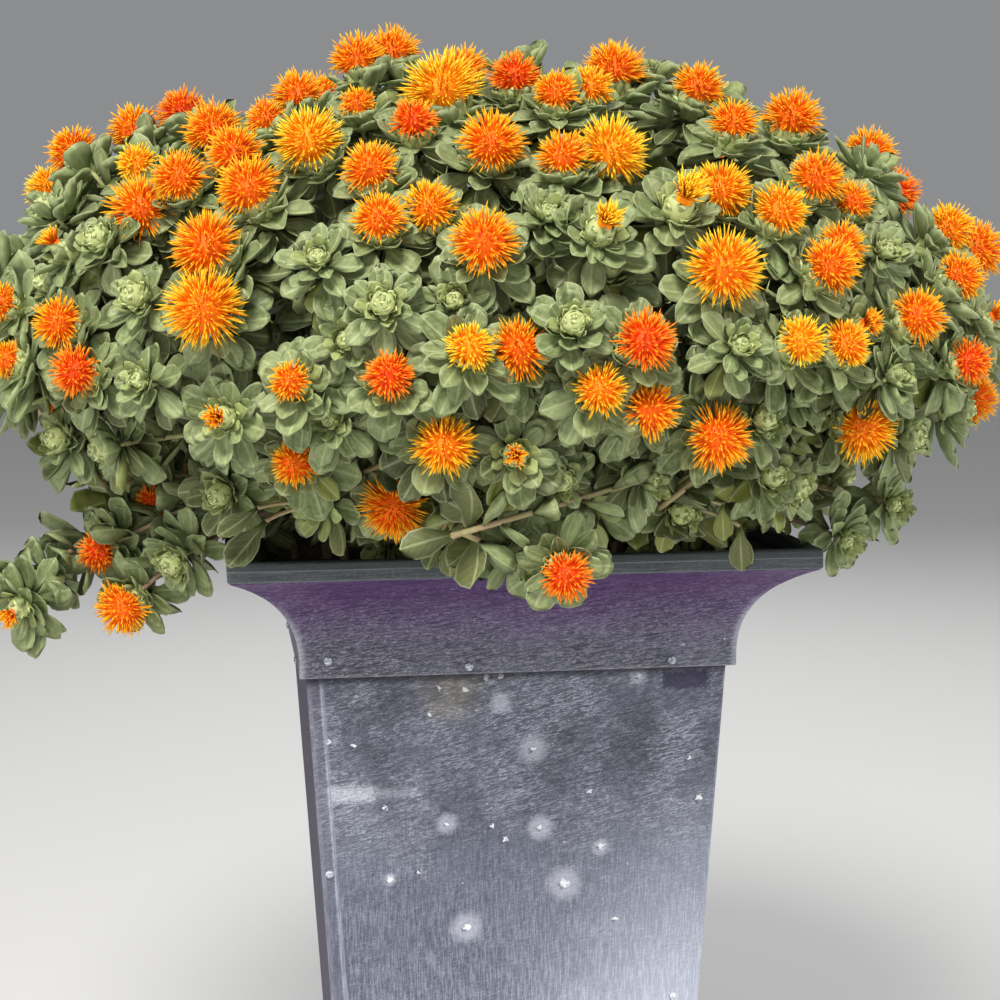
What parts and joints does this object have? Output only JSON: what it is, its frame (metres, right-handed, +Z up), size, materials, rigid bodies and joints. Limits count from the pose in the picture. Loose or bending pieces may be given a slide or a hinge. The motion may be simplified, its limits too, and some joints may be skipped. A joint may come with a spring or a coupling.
{
  "type": "potted safflower",
  "caption": "Mound of orange safflower in bloom in a tall square zinc planter that tapers to its base and flares out at a coved collar.",
  "frame": {"origin": "centre of the planter's base, on the surface it stands on", "axes": "+Z up; -Y is the planter's front, the side that the picture shows; +X to its right"},
  "size_m": [0.6128, 0.6035, 0.7617],
  "materials": {
    "planter_zinc": "weathered zinc, brushed and spotted",
    "collar_zinc": "weathered zinc with a violet cast",
    "rim_zinc": "dull dark zinc",
    "soil": "crumbly potting soil",
    "plant": "matte sage green leaves under orange tufts"
  },
  "bodies": {
    "root": {"planter_body": "planter_zinc", "planter_collar": "collar_zinc", "rim_lip": "rim_zinc", "soil": "soil", "flowering_stem_01": "plant", "flowering_stem_02": "plant", "flowering_stem_03": "plant", "flowering_stem_04": "plant", "flowering_stem_05": "plant", "flowering_stem_06": "plant", "flowering_stem_07": "plant", "flowering_stem_08": "plant", "flowering_stem_09": "plant", "flowering_stem_10": "plant", "flowering_stem_11": "plant", "flowering_stem_12": "plant", "flowering_stem_13": "plant", "flowering_stem_14": "plant", "flowering_stem_15": "plant", "flowering_stem_16": "plant", "flowering_stem_17": "plant", "flowering_stem_18": "plant", "flowering_stem_19": "plant", "flowering_stem_20": "plant", "flowering_stem_21": "plant", "flowering_stem_22": "plant", "flowering_stem_23": "plant", "flowering_stem_24": "plant", "flowering_stem_25": "plant", "flowering_stem_26": "plant", "flowering_stem_27": "plant", "flowering_stem_28": "plant", "flowering_stem_29": "plant", "flowering_stem_30": "plant", "flowering_stem_31": "plant", "flowering_stem_32": "plant", "flowering_stem_33": "plant", "flowering_stem_34": "plant", "flowering_stem_35": "plant", "flowering_stem_36": "plant", "flowering_stem_37": "plant", "flowering_stem_38": "plant", "flowering_stem_39": "plant", "flowering_stem_40": "plant", "flowering_stem_41": "plant", "flowering_stem_42": "plant", "flowering_stem_43": "plant", "flowering_stem_44": "plant", "flowering_stem_45": "plant", "flowering_stem_46": "plant", "flowering_stem_47": "plant", "flowering_stem_48": "plant", "flowering_stem_49": "plant", "flowering_stem_50": "plant", "flowering_stem_51": "plant", "flowering_stem_52": "plant", "flowering_stem_53": "plant", "flowering_stem_54": "plant"}
  },
  "joints": []
}
